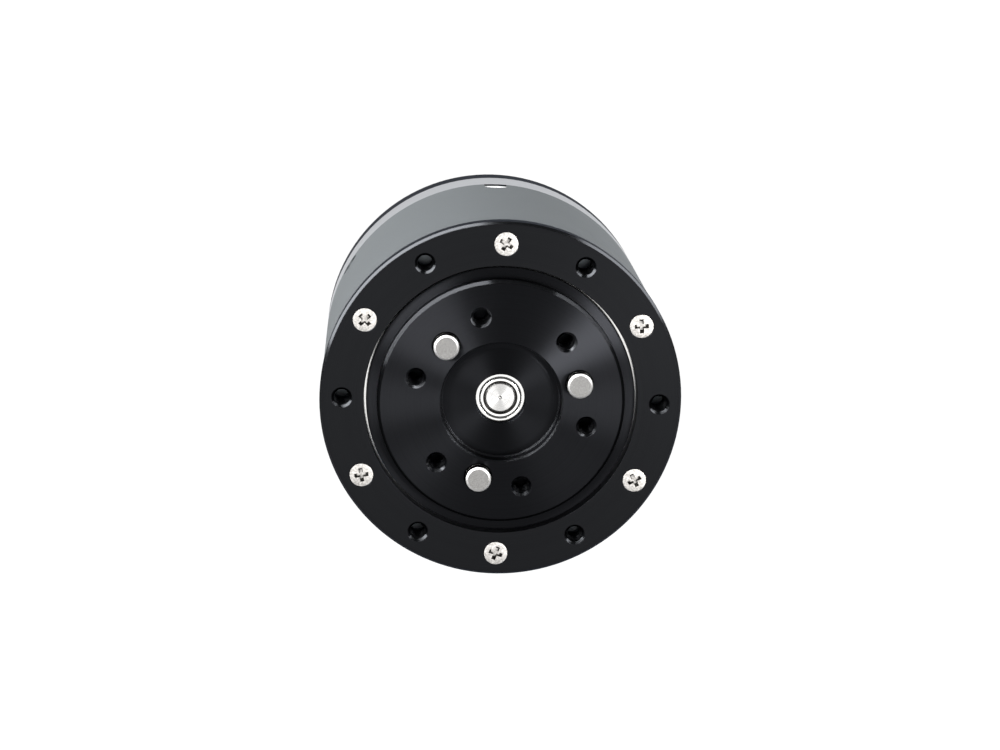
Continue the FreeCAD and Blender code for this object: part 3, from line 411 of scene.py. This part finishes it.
def enamelledCopper():
    # copper wire under clear enamel: rows of round wires along the coil's sides
    v = windings
    material, tree, shader = newMaterial(
        "enamelledCopper", v["light"], v["metallic"], v["roughness"],
        Coat_Weight=v["enamel"], Coat_Roughness=v["enamelRoughness"])
    lathe, _ = latheCoordinates(tree)
    layers = addNode(tree, "ShaderNodeTexWave", {"bands_direction": "X"},
                     {"Scale": bandScale / v["wire"], "Distortion": 0.0}, {"Vector": lathe})
    colourVariation(tree, shader, layers.outputs["Fac"], v["dark"], v["light"])
    relief(tree, shader, layers.outputs["Fac"], v["wire"] * v["wireRelief"])
    return material


# electronics

board = {
    "mask": "#12351f",
    "copper": "#1f5230",
    "tracks": 0.8 * mm,         # width of a track, and of the gap beside it
    "trackEdge": (0.42, 0.48),  # where in a cell of the pattern a track ends and the gap starts
    "trackHeight": 0.02 * mm,
    "roughness": 0.32,
}


def circuitBoard():
    # glass fibre board under green lacquer, with tracks showing as a lighter green
    v = board
    material, tree, shader = newMaterial("circuitBoard", v["mask"], 0.0, v["roughness"])
    place = addNode(tree, "ShaderNodeTexCoord").outputs["Object"]
    cells = addNode(tree, "ShaderNodeTexVoronoi", {"distance": "MANHATTAN", "feature": "F1"},
                    {"Scale": 1 / v["tracks"] / 2}, {"Vector": place})
    tracks = colourVariation(tree, shader, cells.outputs["Distance"], v["copper"], v["mask"],
                             v["trackEdge"])
    relief(tree, shader, tracks, v["trackHeight"])
    return material


plastics = {
    # name: dark, light, roughness low and high, grain (coarser than real, to show), grain depth
    "chipPlastic": ("#17181a", "#222326", 0.45, 0.6, 0.1 * mm, 0.004 * mm),
    "socketNylonYellow": ("#c99a14", "#dfae22", 0.35, 0.5, 0.4 * mm, 0.003 * mm),
    "socketNylonWhite": ("#d6d2c6", "#e6e3d9", 0.35, 0.5, 0.4 * mm, 0.003 * mm),
    "sealRubber": ("#0f1011", "#191a1b", 0.5, 0.65, 0.15 * mm, 0.003 * mm),
}


def mouldedPlastic(name):
    # moulded parts with the faint grain of their mould
    dark, light, low, high, grain, depth = plastics[name]
    material, tree, shader = newMaterial(name, light, 0.0, low)
    place = addNode(tree, "ShaderNodeTexCoord").outputs["Object"]
    noise = addNode(tree, "ShaderNodeTexNoise", values={"Scale": 1 / grain, "Detail": 2.0},
                    links={"Vector": place})
    colourVariation(tree, shader, noise.outputs["Fac"], dark, light)
    roughnessVariation(tree, shader, noise.outputs["Fac"], low, high)
    relief(tree, shader, noise.outputs["Fac"], depth)
    return material


finishes = {
    "blackTurned": blackAnodisedAluminium("blackAnodisedTurned", "turnedFine"),
    "blackMatt": blackAnodisedAluminium("blackAnodisedMatt", "turnedMatt"),
    "greyAnodised": greyAnodisedAluminium(),
    "clearAnodised": clearAnodisedAluminium(),
    "innerRing": bearingInnerRing(innerRing),
    "laminations": laminationSteel(),
    "windings": enamelledCopper(),
    "board": circuitBoard(),
}
for name in turnedMetals:
    finishes[name] = turnedMetal(name)
for name in grainedSteels:
    finishes[name] = grainedSteel(name)
for name in plastics:
    finishes[name] = mouldedPlastic(name)

finishOfNode = {
    "front_cover": "blackMatt",
    "output_flange": "blackTurned",
    "rear_cover": "blackMatt",
    "barrel_housing": "greyAnodised",
    "rear_housing": "clearAnodised",
    "cover_screws": "nickelPlatedSteel",
    "rear_cover_screws": "nickelPlatedSteel",
    "ring_gear": "gearSteel",
    "planet_gear_1": "gearSteel",
    "planet_gear_2": "gearSteel",
    "planet_gear_3": "gearSteel",
    "sun_shaft": "shaftSteel",
    "planet_pins": "groundSteel",
    "carrier_rear_plate": "plainAluminium",
    "output_bearing_inner_ring": "bearingSteel",
    "output_bearing_outer_ring": "bearingSteel",
    "centre_bearing_inner_ring": "innerRing",
    "centre_bearing_outer_ring": "bearingSteel",
    "rear_bearing_inner_ring": "bearingSteel",
    "rear_bearing_outer_ring": "bearingSteel",
    "rotor_bell": "zincPlatedSteel",
    "rotor_magnets": "nickelPlatedMagnet",
    "sensor_magnet": "nickelPlatedMagnet",
    "stator_core": "laminations",
    "stator_coils": "windings",
    "driver_board": "board",
    "board_spacers": "spacerBrass",
    "power_transistors": "chipPlastic",
    "rotation_sensor": "chipPlastic",
    "power_socket": "socketNylonYellow",
    "signal_socket_1": "socketNylonWhite",
    "signal_socket_2": "socketNylonWhite",
}
for name, finish in finishOfNode.items():
    data = nodes[name].data
    if not data.materials:
        data.materials.append(finishes[finish])
    for slot in nodes[name].material_slots:
        slot.material = finishes[finish]
print("finishes set on", len(finishOfNode), "pieces")


# modelling steps

smoothAngle = math.radians(35)  # sharper edges stay sharp
roundSteps = 3                  # facets across a rounded edge
mergeWithin = 0.0005 * mm
nearEnough = 0.004 * mm


def deselectAll():
    bpy.ops.object.select_all(action="DESELECT")


def pickOnly(piece):
    deselectAll()
    piece.select_set(True)
    bpy.context.view_layer.objects.active = piece


def applyPlace():
    bpy.ops.object.transform_apply(location=True, rotation=True, scale=True)


def enterEdit(piece):
    pickOnly(piece)
    bpy.ops.object.mode_set(mode="EDIT")
    bpy.ops.mesh.select_all(action="DESELECT")


def leaveEdit():
    bpy.ops.object.mode_set(mode="OBJECT")


def pick(piece, kind, wanted):
    # selects the faces or the edges for which wanted is true
    bpy.ops.mesh.select_all(action="DESELECT")
    bpy.ops.mesh.select_mode(type=kind)
    shape = bmesh.from_edit_mesh(piece.data)
    for part in shape.faces if kind == "FACE" else shape.edges:
        part.select_set(wanted(part))
    bmesh.update_edit_mesh(piece.data)


def near(value, other):
    return abs(value - other) < nearEnough


def fromAxis(place):
    return math.hypot(place.x, place.y)


def onCircle(radius, angle, height):
    return radius * math.cos(angle), radius * math.sin(angle), height


def looksDown(face):
    return face.normal.z < -facing


def looksAlong(face):
    return abs(face.normal.z) > facing


def runsRound(edge):
    # part of a rim: both ends are at one height and one distance from the axis
    start, end = (corner.co for corner in edge.verts)
    return near(start.z, end.z) and near(fromAxis(start), fromAxis(end))


def atZero(edge):
    return all(near(corner.co.z, 0) for corner in edge.verts)


def finished(piece, finish, body):
    # applies the place, smooths the shading and hands the piece to its body. With None for its
    # finish, the piece keeps those that it has
    pickOnly(piece)
    applyPlace()
    bpy.ops.object.shade_smooth_by_angle(angle=smoothAngle)
    if finish:
        piece.data.materials.clear()
        piece.data.materials.append(finishes[finish])
    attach(piece, body)
    return piece


def copyOf(piece, name, place, turn=(0, 0, 0)):
    double = piece.copy()
    double.data = piece.data.copy()
    double.name = name
    double.data.name = name
    bpy.context.collection.objects.link(double)
    double.location = place
    double.rotation_euler = turn
    return double


def roundRing(name, inside, outside, back, front, edgeRadius, sides=96):
    # a closed ring with its four rims rounded
    deselectAll()
    bpy.ops.mesh.primitive_cylinder_add(vertices=sides, radius=outside, depth=front - back,
                                        location=(0, 0, (front + back) / 2))
    piece = bpy.context.object
    piece.name = name
    applyPlace()
    enterEdit(piece)
    pick(piece, "FACE", looksAlong)
    bpy.ops.mesh.inset(thickness=(outside - inside) * math.cos(math.pi / sides))
    bpy.ops.mesh.bridge_edge_loops()
    pick(piece, "EDGE", runsRound)
    bpy.ops.mesh.bevel(offset=edgeRadius, segments=roundSteps, affect="EDGES")
    bpy.ops.mesh.select_all(action="SELECT")
    bpy.ops.mesh.remove_doubles(threshold=mergeWithin)
    bpy.ops.mesh.normals_make_consistent(inside=False)
    leaveEdit()
    return piece


# countersunk cross-head screws

crossScrew = {
    "headRadius": 1.88 * mm,
    "headSides": 48,
    "shankRadius": 0.95 * mm,
    "tipTaper": 0.8,            # width of the shank's end
    "landHeight": 0.16 * mm,    # upright rim of the head
    "rimRound": 0.07 * mm,
    "wingLength": 2.34 * mm,    # across the cross
    "wingWidth": 0.68 * mm,
    "crossDepth": 0.75 * mm,
    "crossTaper": 0.6,          # size of the cross at its floor
    "centreRadius": 0.5 * mm,
    "centreSides": 16,
    "cutAbove": 0.1 * mm,       # how far the cutter stands out of the head's face
}
coverScrews = {
    "circle": 25.0 * mm,
    "firstAngle": 90.0,
    "turns": (60, 45, 10, 70, 28, 5),       # each cross as it was tightened, degrees
    "length": 5.9 * mm,
    "sink": 0.05 * mm,          # of the head's face below the cover's
}
rearScrews = {
    "circle": 26.0 * mm,
    "firstAngle": 0.0,
    "turns": (15, 62, 38),
    "length": 17.9 * mm,
    "sink": 0.05 * mm,
}


def makeCrossCutter(v):
    # two tapered bars and a narrowing middle, which stand a little out of the head's face
    parts = []
    height = v["crossDepth"] + v["cutAbove"]
    middle = (0, 0, v["cutAbove"] - height / 2)
    for turn in (0, math.pi / 2):
        deselectAll()
        bpy.ops.mesh.primitive_cube_add(size=1, location=middle, rotation=(0, 0, turn))
        bar = bpy.context.object
        bar.scale = (v["wingLength"], v["wingWidth"], height)
        applyPlace()
        enterEdit(bar)
        pick(bar, "FACE", looksDown)
        bpy.ops.transform.resize(value=(v["crossTaper"], v["crossTaper"], 1))
        leaveEdit()
        parts.append(bar)
    deselectAll()
    bpy.ops.mesh.primitive_cone_add(
        vertices=v["centreSides"], radius1=v["crossTaper"] * v["centreRadius"],
        radius2=v["centreRadius"], depth=height, location=middle)
    parts.append(bpy.context.object)
    return parts


def makeCrossScrew(v, length):
    # axis on Z, head's face at z = 0
    headDepth = v["landHeight"] + v["headRadius"] - v["shankRadius"]
    deselectAll()
    bpy.ops.mesh.primitive_cylinder_add(
        vertices=v["headSides"], radius=v["headRadius"], depth=v["landHeight"],
        location=(0, 0, -v["landHeight"] / 2))
    screw = bpy.context.object
    screw.name = "crossScrew"
    applyPlace()
    enterEdit(screw)
    pick(screw, "FACE", looksDown)
    for endHeight, width in (
        (v["landHeight"] - headDepth, v["shankRadius"] / v["headRadius"]),
        (headDepth - length, v["tipTaper"]),
    ):
        bpy.ops.mesh.extrude_region_move(TRANSFORM_OT_translate={"value": (0, 0, endHeight)})
        bpy.ops.transform.resize(value=(width, width, 1))
    pick(screw, "EDGE", atZero)
    bpy.ops.mesh.bevel(offset=v["rimRound"], segments=roundSteps, affect="EDGES")
    leaveEdit()
    for cutter in makeCrossCutter(v):
        pickOnly(screw)
        cut = screw.modifiers.new("cross", "BOOLEAN")
        cut.object = cutter
        cut.operation = "DIFFERENCE"
        cut.solver = "EXACT"
        bpy.ops.object.modifier_apply(modifier=cut.name)
        bpy.data.objects.remove(cutter)
    paintCross(v, screw)
    return screw


def paintCross(v, screw):
    # plating all over, and a near-black painted shade on the walls of the cross
    screw.data.materials.clear()
    screw.data.materials.append(finishes["nickelPlatedSteel"])
    screw.data.materials.append(finishes["crossWallPaintedShade"])
    reach = v["wingLength"] / 1.9           # just past the cross's ends
    shallow = 0.01 * mm
    for face in screw.data.polygons:
        inCross = fromAxis(face.center) < reach and -v["crossDepth"] < face.center.z < -shallow
        face.material_index = 1 if inCross and abs(face.normal.z) < facing else 0


def makeScrewCircle(v, name, height, tilt):
    # one screw copied evenly round the axis, with its head's face at height
    master = makeCrossScrew(crossScrew, v["length"])
    screws = []
    for number, turn in enumerate(v["turns"]):
        angle = math.radians(v["firstAngle"] + 360 / len(v["turns"]) * number)
        screw = copyOf(master, f"{name}_{number + 1}", onCircle(v["circle"], angle, height),
                       (tilt, 0, math.radians(turn)))
        screws.append(finished(screw, None, "root"))
    bpy.data.objects.remove(master)
    return screws


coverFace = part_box("front_cover")[1][2]
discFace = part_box("output_flange")[1][2]

for screw in makeScrewCircle(coverScrews, "coverScrew", coverFace - coverScrews["sink"], 0):
    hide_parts("cover_screws")
for screw in makeScrewCircle(rearScrews, "rearScrew", rearScrews["sink"], math.pi):
    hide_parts("rear_cover_screws")
print("screws made")


# threads in the M3 holes

threadRib = {
    "pitch": 0.5 * mm,
    "wall": 1.249 * mm,
    "crest": 1.18 * mm,
    "rootWidth": 0.42 * mm,
    "crestWidth": 0.08 * mm,
    "steps": 20,
}
threadHoles = 6                 # on each circle
threadPlaces = {
    # name: body, height of the face, circle, first angle, depth of the first turn, turns
    "coverThread": ("root", coverFace, 25.0 * mm, 120.0, 0.75 * mm, 9),
    "flangeThread": ("output", discFace, 14.0 * mm, 105.0, 0.75 * mm, 8),
}


def makeThread(v, turns):
    # one rib with four sides, wound down from z = 0
    deselectAll()
    bpy.ops.mesh.primitive_plane_add(size=1, location=(0, 0, 0))
    rib = bpy.context.object
    enterEdit(rib)
    bpy.ops.mesh.select_all(action="SELECT")
    bpy.ops.mesh.delete(type="ONLY_FACE")
    shape = bmesh.from_edit_mesh(rib.data)
    for corner in shape.verts:
        inner = corner.co.x < 0
        width = v["crestWidth"] if inner else v["rootWidth"]
        upper = corner.co.y > 0
        corner.co = (v["crest"] if inner else v["wall"], 0, (width if upper else -width) / 2)
    bmesh.update_edit_mesh(rib.data)
    leaveEdit()
    wind = rib.modifiers.new("wind", "SCREW")
    wind.screw_offset = -v["pitch"]
    wind.iterations = turns
    wind.steps = v["steps"]
    wind.render_steps = v["steps"]
    wind.use_merge_vertices = True
    wind.merge_threshold = mergeWithin
    bpy.ops.object.modifier_apply(modifier=wind.name)
    enterEdit(rib)
    bpy.ops.mesh.select_all(action="SELECT")
    bpy.ops.mesh.fill_holes(sides=4)
    bpy.ops.mesh.normals_make_consistent(inside=False)
    leaveEdit()
    return rib


for name, (body, face, circle, first, depth, turns) in threadPlaces.items():
    master = makeThread(threadRib, turns)
    for number in range(threadHoles):
        angle = math.radians(first + 360 / threadHoles * number)
        rib = copyOf(master, f"{name}_{number + 1}", onCircle(circle, angle, face - depth),
                     (0, 0, angle))
        finished(rib, "blackMatt", body)
    bpy.data.objects.remove(master)
print("threads made")


# centre bearing

centreBearing = {
    "edgeRadius": 0.1 * mm,
    "shieldSink": 0.16 * mm,
    "shieldThickness": 0.2 * mm,
    "shieldGap": 0.03 * mm,
    "shieldEdge": 0.03 * mm,
}


def makeCentreBearing(v):
    made = {}
    for name, node, body, finish in (
        ("centreBearingOuterRing", "centre_bearing_outer_ring", "output", "bearingSteel"),
        ("centreBearingInnerRing", "centre_bearing_inner_ring", "rotor", "innerRing"),
    ):
        low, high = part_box(node)
        outside = high[0]
        inside = min(fromAxis(vertex.co) for vertex in nodes[node].data.vertices)
        ringPiece = roundRing(name, inside, outside, low[2], high[2], v["edgeRadius"])
        finished(ringPiece, finish, body)
        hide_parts(node)
        made[body] = (inside, outside, high[2])
    front = made["output"][2] - v["shieldSink"]
    shield = roundRing("centreBearingShield", made["rotor"][1] + v["shieldGap"],
                       made["output"][0], front - v["shieldThickness"], front, v["shieldEdge"])
    finished(shield, "sealRubber", "output")


makeCentreBearing(centreBearing)
print("centre bearing made")


# contacts in the rear sockets

contacts = {
    "powerOutside": 1.15 * mm,
    "powerInside": 0.8 * mm,
    "powerLength": 2.6 * mm,
    "powerEdge": 0.08 * mm,
    "powerSides": 32,
    "powerPitch": 5.0 * mm,
    "signalCount": 3,
    "signalPitch": 1.5 * mm,
    "signalSide": 0.5 * mm,
    "signalLength": 2.2 * mm,
    "signalTip": 0.3 * mm,      # length of the narrowing end
    "signalTipTaper": 0.4,
    "floorDepth": 3.4 * mm,     # of a socket's floor inside its mouth
    "sunk": 0.1 * mm,           # how far a contact goes into the floor
}


def makeContacts(v):
    low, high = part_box("power_socket")
    centre = (Vector(low) + Vector(high)) / 2
    tube = roundRing("powerContact", v["powerInside"], v["powerOutside"], -v["powerLength"],
                     v["sunk"], v["powerEdge"], v["powerSides"])
    for number, side in enumerate((-0.5, 0.5)):
        contact = copyOf(tube, f"powerContact_{number + 1}",
                         (centre.x + side * v["powerPitch"], centre.y, low[2] + v["floorDepth"]))
        finished(contact, "contactGold", "root")
    bpy.data.objects.remove(tube)
    deselectAll()
    bpy.ops.mesh.primitive_cube_add(size=1, location=(0, 0, 0))
    pin = bpy.context.object
    pin.scale = (v["signalSide"], v["signalSide"], v["signalLength"])
    pin.location = (0, 0, v["sunk"] - v["signalLength"] / 2)
    applyPlace()
    enterEdit(pin)
    pick(pin, "FACE", looksDown)
    bpy.ops.mesh.extrude_region_move(TRANSFORM_OT_translate={"value": (0, 0, -v["signalTip"])})
    bpy.ops.transform.resize(value=(v["signalTipTaper"], v["signalTipTaper"], 1))
    leaveEdit()
    for socket in (1, 2):
        low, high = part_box(f"signal_socket_{socket}")
        centre = (Vector(low) + Vector(high)) / 2
        for number in range(v["signalCount"]):
            across = (number - (v["signalCount"] - 1) / 2) * v["signalPitch"]
            contact = copyOf(pin, f"signalContact_{socket}_{number + 1}",
                             (centre.x + across, centre.y, low[2] + v["floorDepth"]))
            finished(contact, "contactGold", "root")
    bpy.data.objects.remove(pin)


makeContacts(contacts)
print("contacts made")


# floor, light and camera

studio = {
    "floorSize": 6.0,
    "floorColour": "#f2f2f2",
    "floorRoughness": 0.8,
    "floorWhite": 0.9,          # share of the floor that shows as plain white
    "sky": (
        # height of the direction, colour
        (0.0, "#8c8d90"),
        (0.3, "#7c7d80"),
        (1.0, "#a0a1a4"),
    ),
    "skyLight": 1.0,
    "boxes": (
        # direction round and up in degrees, distance, width and height, watts
        (14, 60, 0.62, (0.14, 0.14), 2.8),
        (146, 56, 0.62, (0.34, 0.2), 3.6),
        (202, 56, 0.62, (0.16, 0.16), 0.7),
        (-22, 56, 0.62, (0.16, 0.16), 0.7),
        (37, 9, 0.62, (0.45, 0.14), 2.2),
        (135, 10, 0.62, (1.0, 0.2), 10.0),
        (-77, 77, 0.75, (0.4, 0.4), 0.9),
    ),
    "boxesAim": (0, 0, 30 * mm),
}


def makeFloor(v):
    deselectAll()
    bpy.ops.mesh.primitive_plane_add(size=v["floorSize"], location=(0, 0, 0))
    floor = bpy.context.object
    floor.name = "studioFloor"
    material, tree, shader = newMaterial("studioPaper", v["floorColour"], 0.0,
                                         v["floorRoughness"])
    path = addNode(tree, "ShaderNodeLightPath")
    seen = addNode(tree, "ShaderNodeMath", {"operation": "ADD"},
                   links={0: path.outputs["Is Camera Ray"], 1: path.outputs["Is Glossy Ray"]})
    shown = addNode(tree, "ShaderNodeMath", {"operation": "ADD", "use_clamp": True},
                    links={0: seen.outputs[0], 1: path.outputs["Is Transmission Ray"]})
    share = addNode(tree, "ShaderNodeMath", {"operation": "MULTIPLY"}, {1: v["floorWhite"]},
                    {0: shown.outputs[0]})
    white = addNode(tree, "ShaderNodeEmission", values={"Strength": 1.0})
    mixed = addNode(tree, "ShaderNodeMixShader",
                    links={0: share.outputs[0], 1: shader.outputs[0], 2: white.outputs[0]})
    tree.links.new(mixed.outputs[0], tree.nodes["Material Output"].inputs["Surface"])
    floor.data.materials.append(material)


def makeSky(v):
    world = bpy.data.worlds.new("studio")
    bpy.context.scene.world = world
    world.use_nodes = True
    tree = world.node_tree
    sky = tree.nodes["Background"]
    place = addNode(tree, "ShaderNodeTexCoord").outputs["Generated"]
    split = addNode(tree, "ShaderNodeSeparateXYZ", links={"Vector": place})
    ramp = addNode(tree, "ShaderNodeValToRGB", links={"Fac": split.outputs["Z"]})
    stops = ramp.color_ramp.elements
    for height, _ in v["sky"][1:-1]:
        stops.new(height)
    for stop, (height, colour) in zip(stops, v["sky"]):
        stop.position = height
        stop.color = linear(colour)
    tree.links.new(ramp.outputs["Color"], sky.inputs["Color"])
    sky.inputs["Strength"].default_value = v["skyLight"]


def makeSoftboxes(v):
    for number, (turn, up, distance, size, watts) in enumerate(v["boxes"]):
        data = bpy.data.lights.new(f"softbox_{number + 1}", "AREA")
        data.shape = "RECTANGLE"
        data.size, data.size_y = size
        data.energy = watts
        lamp = bpy.data.objects.new(data.name, data)
        bpy.context.collection.objects.link(lamp)
        across = distance * math.cos(math.radians(up))
        lamp.location = onCircle(across, math.radians(turn), distance * math.sin(math.radians(up)))
        towards = Vector(v["boxesAim"]) - lamp.location
        lamp.rotation_euler = towards.to_track_quat("-Z", "Y").to_euler()


view = {
    "target": (-0.3 * mm, 4.2 * mm, 52.3 * mm),
    "direction": (-0.0544, 0.2251, 0.9728),     # from the target to the camera
    "distance": 374.0 * mm,
    "roll": 2.0,
    "lens": 85.9,
    "sensor": 36.0,
    "nearest": 10 * mm,
}


def makeCamera(v):
    data = bpy.data.cameras.new("camera")
    data.lens = v["lens"]
    data.sensor_width = v["sensor"]
    data.clip_start = v["nearest"]
    camera = bpy.data.objects.new("camera", data)
    bpy.context.collection.objects.link(camera)
    back = Vector(v["direction"]).normalized()
    right = Vector((0, 1, 0)).cross(back).normalized()
    up = back.cross(right)
    roll = math.radians(v["roll"])
    turn = camera.matrix_world.to_3x3()
    turn.col[0] = right * math.cos(roll) + up * math.sin(roll)
    turn.col[1] = up * math.cos(roll) - right * math.sin(roll)
    turn.col[2] = back
    camera.matrix_world = turn.to_4x4()
    camera.location = Vector(v["target"]) + back * v["distance"]
    bpy.context.scene.camera = camera


makeFloor(studio)
makeSky(studio)
makeSoftboxes(studio)
makeCamera(view)
bpy.context.scene.view_settings.view_transform = "Standard"
print("studio set")
